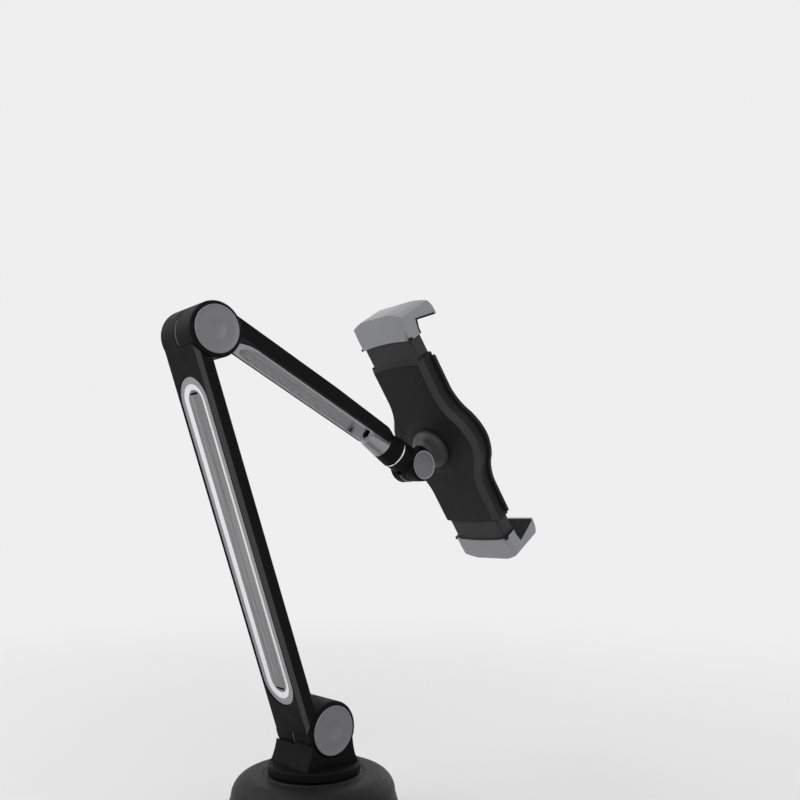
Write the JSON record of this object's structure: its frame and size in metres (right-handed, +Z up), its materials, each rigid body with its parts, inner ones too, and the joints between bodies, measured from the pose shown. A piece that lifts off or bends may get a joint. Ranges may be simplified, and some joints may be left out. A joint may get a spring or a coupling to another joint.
{
  "type": "suction cup tablet holder",
  "caption": "Suction cup stand with a two-piece folding arm, a wrist swivel and a sliding clamp that grips a phone or tablet.",
  "frame": {"origin": "middle of the suction cup's underside, on the table", "axes": "+Z up, -Y towards the reader and the holder, +Y towards the back and the elbow, +X along every main hinge"},
  "size_m": [0.088, 0.2167, 0.2551],
  "materials": {
    "cup_rubber": "smooth",
    "pad_rubber": "matt",
    "black_paint": "satin",
    "black_plastic": "fine moulded grain",
    "silver_paint": "satin metallic paint",
    "bright_aluminium": "brushed and polished",
    "cap_grey": "satin",
    "steel": "zinc plated",
    "nylon": "natural"
  },
  "bodies": {
    "base": {"suction_cup": "cup_rubber", "base_housing": "black_plastic"},
    "plunger": {"suction_stem": "nylon", "cam_pin": "steel"},
    "lever": {"lock_lever": "black_plastic"},
    "turntable": {"base_yoke": "black_paint", "turntable_screw": "steel", "turntable_washer": "nylon", "base_hinge_bolt": "steel", "base_hinge_nut": "steel", "base_hinge_washer": "nylon", "base_cap_front": "cap_grey"},
    "lower_arm": {"lower_arm_beam": "black_paint", "lower_arm_inlay": "bright_aluminium", "base_cap_rear": "cap_grey", "elbow_cap_rear": "cap_grey"},
    "upper_arm": {"upper_arm_beam": "black_paint", "upper_arm_inlay": "bright_aluminium", "elbow_bolt": "steel", "elbow_nut": "steel", "elbow_washer": "nylon", "elbow_cap_front": "cap_grey", "swivel_ring": "bright_aluminium"},
    "wrist": {"wrist_knuckle": "black_paint", "wrist_screw": "steel", "wrist_washer": "nylon", "tilt_bolt": "steel", "tilt_nut": "steel", "tilt_cap_front": "cap_grey", "tilt_cap_rear": "cap_grey"},
    "mount_head": {"mount_collar": "black_plastic", "retaining_plate": "steel", "retaining_screw": "steel"},
    "holder": {"back_cover": "black_plastic", "front_plate": "black_plastic", "cover_screws": "steel", "grip_pads": "pad_rubber", "clamp_spring": "steel"},
    "pinion_gear": {"pinion": "nylon"},
    "top_jaw": {"top_slider": "black_plastic", "top_clamp": "silver_paint", "top_pad": "pad_rubber"},
    "bottom_jaw": {"bottom_slider": "black_plastic", "bottom_clamp": "silver_paint", "bottom_pad": "pad_rubber"}
  },
  "joints": [
    {"name": "base_swivel", "type": "hinge", "parent": "base", "child": "turntable", "pos_m": [0, 0, 0.028], "axis": [0, 0, 1], "continuous": true},
    {"name": "base_tilt", "type": "hinge", "parent": "turntable", "child": "lower_arm", "pos_m": [0, 0, 0.048], "axis": [1, 0, 0], "range_deg": [-28, 95]},
    {"name": "elbow", "type": "hinge", "parent": "lower_arm", "child": "upper_arm", "pos_m": [0, 0.06449, 0.2214], "axis": [-1, 0, 0], "range_deg": [-22, 135]},
    {"name": "wrist_swivel", "type": "hinge", "parent": "upper_arm", "child": "wrist", "pos_m": [0, -0.04835, 0.17561], "axis": [0, -0.9056, -0.4242], "continuous": true},
    {"name": "holder_tilt", "type": "hinge", "parent": "wrist", "child": "mount_head", "pos_m": [0, -0.06166, 0.16937], "axis": [1, 0, 0], "range_deg": [-28, 148]},
    {"name": "holder_spin", "type": "hinge", "parent": "mount_head", "child": "holder", "pos_m": [0, -0.09046, 0.18979], "axis": [0, 0.8158, -0.5783], "continuous": true},
    {"name": "top_jaw_slide", "type": "slide", "parent": "holder", "child": "top_jaw", "axis": [0, 0.5783, 0.8158], "range_m": [-0.01, 0.024]},
    {"name": "bottom_jaw_slide", "type": "slide", "parent": "holder", "child": "bottom_jaw", "axis": [0, -0.5783, -0.8158], "range_m": [-0.0102, 0.0242]},
    {"name": "pinion_turn", "type": "hinge", "parent": "holder", "child": "pinion_gear", "pos_m": [0, -0.09046, 0.18979], "axis": [0, 0.8158, -0.5783], "range_deg": [-73, 173]},
    {"name": "lever_swing", "type": "hinge", "parent": "base", "child": "lever", "pos_m": [0, 0, 0.0135], "axis": [0, 0, -1], "range_deg": [-1, 81]},
    {"name": "plunger_lift", "type": "slide", "parent": "base", "child": "plunger", "axis": [0, 0, 1], "range_m": [-0.003, 0]}
  ],
  "couplings": [
    {"joint": "bottom_jaw_slide", "follows": "top_jaw_slide", "ratio": 1},
    {"joint": "pinion_turn", "follows": "top_jaw_slide", "rad_per_m": 125},
    {"joint": "lever_swing", "follows": "plunger_lift", "rad_per_m": -465.42}
  ]
}
